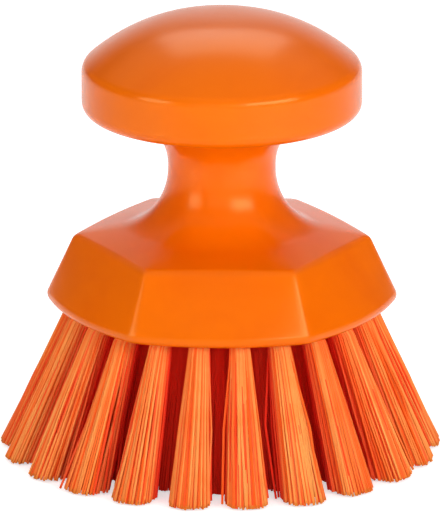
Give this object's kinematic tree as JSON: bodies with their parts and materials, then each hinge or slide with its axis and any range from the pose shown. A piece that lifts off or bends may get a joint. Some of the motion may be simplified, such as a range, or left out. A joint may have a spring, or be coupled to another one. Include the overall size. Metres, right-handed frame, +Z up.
{
  "type": "round scrub brush",
  "caption": "Round palm-held scrub brush with a domed knob, waisted neck, six-sided flared block and leaning rings of thick stiff bristle tufts.",
  "frame": {"origin": "centre of the circle of bristle tips that the brush stands on", "axes": "+Z up along the axis of the neck and knob, +Y away from the flat of the shoulder that faces the viewer"},
  "size_m": [0.111, 0.1104, 0.1135],
  "materials": {
    "block": "satin moulded polypropylene",
    "bristle": "drawn polyester filament"
  },
  "bodies": {
    "root": {"handle_block": "block", "outer_tuft_01": "bristle", "outer_tuft_02": "bristle", "outer_tuft_03": "bristle", "outer_tuft_04": "bristle", "outer_tuft_05": "bristle", "outer_tuft_06": "bristle", "outer_tuft_07": "bristle", "outer_tuft_08": "bristle", "outer_tuft_09": "bristle", "outer_tuft_10": "bristle", "outer_tuft_11": "bristle", "outer_tuft_12": "bristle", "outer_tuft_13": "bristle", "outer_tuft_14": "bristle", "outer_tuft_15": "bristle", "outer_tuft_16": "bristle", "outer_tuft_17": "bristle", "outer_tuft_18": "bristle", "outer_tuft_19": "bristle", "outer_tuft_20": "bristle", "outer_tuft_21": "bristle", "outer_tuft_22": "bristle", "second_tuft_01": "bristle", "second_tuft_02": "bristle", "second_tuft_03": "bristle", "second_tuft_04": "bristle", "second_tuft_05": "bristle", "second_tuft_06": "bristle", "second_tuft_07": "bristle", "second_tuft_08": "bristle", "second_tuft_09": "bristle", "second_tuft_10": "bristle", "second_tuft_11": "bristle", "second_tuft_12": "bristle", "second_tuft_13": "bristle", "second_tuft_14": "bristle", "second_tuft_15": "bristle", "second_tuft_16": "bristle", "third_tuft_01": "bristle", "third_tuft_02": "bristle", "third_tuft_03": "bristle", "third_tuft_04": "bristle", "third_tuft_05": "bristle", "third_tuft_06": "bristle", "third_tuft_07": "bristle", "third_tuft_08": "bristle", "third_tuft_09": "bristle", "third_tuft_10": "bristle", "inner_tuft_01": "bristle", "inner_tuft_02": "bristle", "inner_tuft_03": "bristle", "inner_tuft_04": "bristle"}
  },
  "joints": []
}
